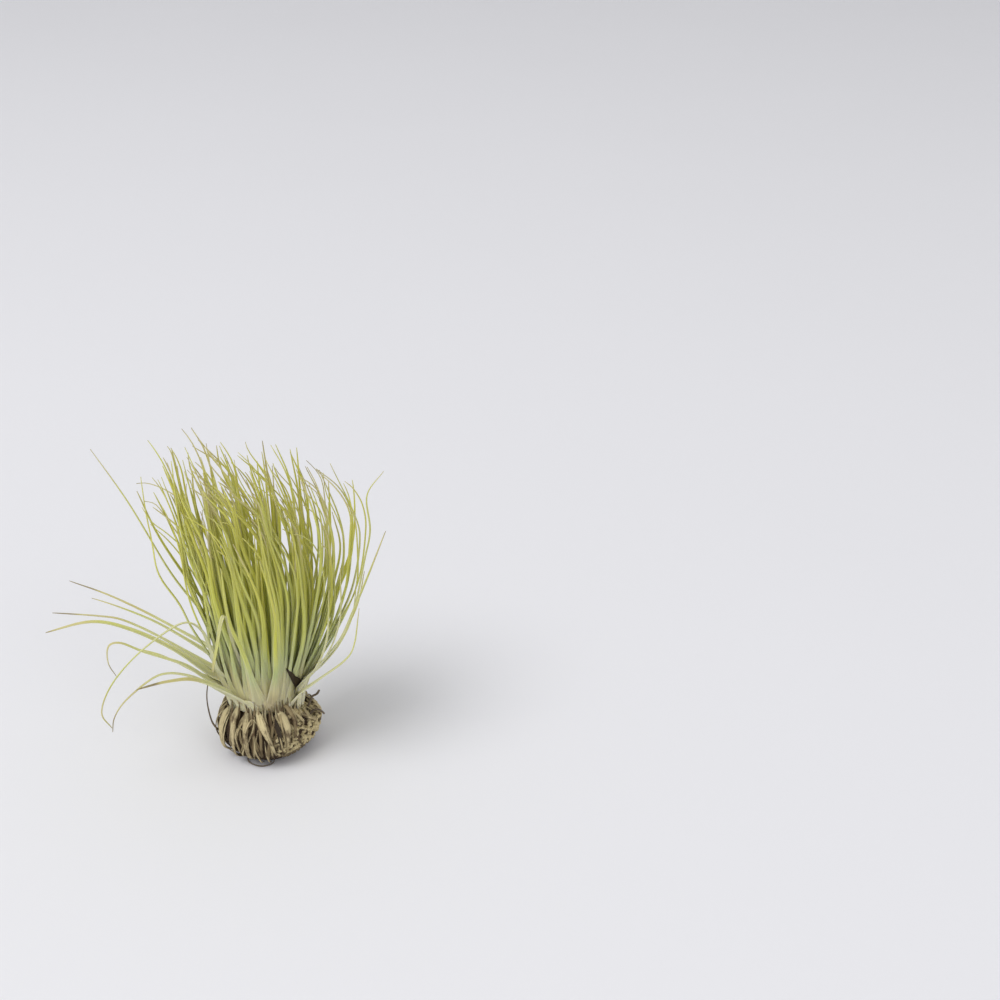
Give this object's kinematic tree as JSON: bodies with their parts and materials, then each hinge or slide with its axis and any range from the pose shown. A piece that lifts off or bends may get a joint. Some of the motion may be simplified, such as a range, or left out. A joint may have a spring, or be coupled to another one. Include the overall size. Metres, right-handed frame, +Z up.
{
  "type": "air plant",
  "caption": "Air plant with a fan of thin arching silver-green leaves, standing on its own flat-bottomed ball of dead leaf bases and roots.",
  "frame": {"origin": "centre of the flat underside of the root ball, on the surface that the plant stands on", "axes": "+Z up through the ball and the tuft, -Y towards the front, where the plant is seen from, +X to the right"},
  "size_m": [0.1807, 0.1112, 0.1743],
  "materials": {
    "leaf": "satin",
    "dry_husk": "matte",
    "root_mass": "matte",
    "dead_root": "matte"
  },
  "bodies": {
    "root": {"root_ball": "root_mass", "leaf_left_1": "leaf", "leaf_left_2": "leaf", "leaf_left_3": "leaf", "leaf_left_4": "leaf", "leaf_left_hooked": "leaf", "leaf_left_kinked": "leaf", "leaf_left_drooping": "leaf", "leaf_left_low": "leaf", "leaf_upper_left_1": "leaf", "leaf_upper_left_2": "leaf", "leaf_upper_left_3": "leaf", "leaf_upper_left_4": "leaf", "leaf_upper_left_5": "leaf", "leaf_right_1": "leaf", "leaf_right_2": "leaf", "leaf_right_3": "leaf", "leaf_right_4": "leaf", "leaf_right_5": "leaf", "leaf_folded": "leaf", "leaf_crown_1": "leaf", "leaf_crown_2": "leaf", "leaf_crown_3": "leaf", "leaf_crown_4": "leaf", "leaf_crown_5": "leaf", "leaf_crown_6": "leaf", "leaf_crown_7": "leaf", "leaf_crown_8": "leaf", "leaf_crown_9": "leaf", "leaf_crown_10": "leaf", "leaf_crown_11": "leaf", "leaf_crown_12": "leaf", "leaf_crown_13": "leaf", "leaf_crown_14": "leaf", "leaf_crown_15": "leaf", "leaf_crown_16": "leaf", "leaf_crown_17": "leaf", "leaf_crown_18": "leaf", "leaf_crown_19": "leaf", "leaf_crown_20": "leaf", "leaf_crown_21": "leaf", "leaf_crown_22": "leaf", "leaf_crown_23": "leaf", "husk_rib_1": "dry_husk", "husk_rib_2": "dry_husk", "husk_rib_3": "dry_husk", "husk_rib_4": "dry_husk", "husk_rib_5": "dry_husk", "husk_rib_6": "dry_husk", "husk_rib_7": "dry_husk", "husk_rib_8": "dry_husk", "husk_rib_9": "dry_husk", "husk_rib_10": "dry_husk", "husk_rib_11": "dry_husk", "root_side": "dead_root", "root_loop": "dead_root", "root_stub_1": "dead_root", "root_stub_2": "dead_root"}
  },
  "joints": []
}
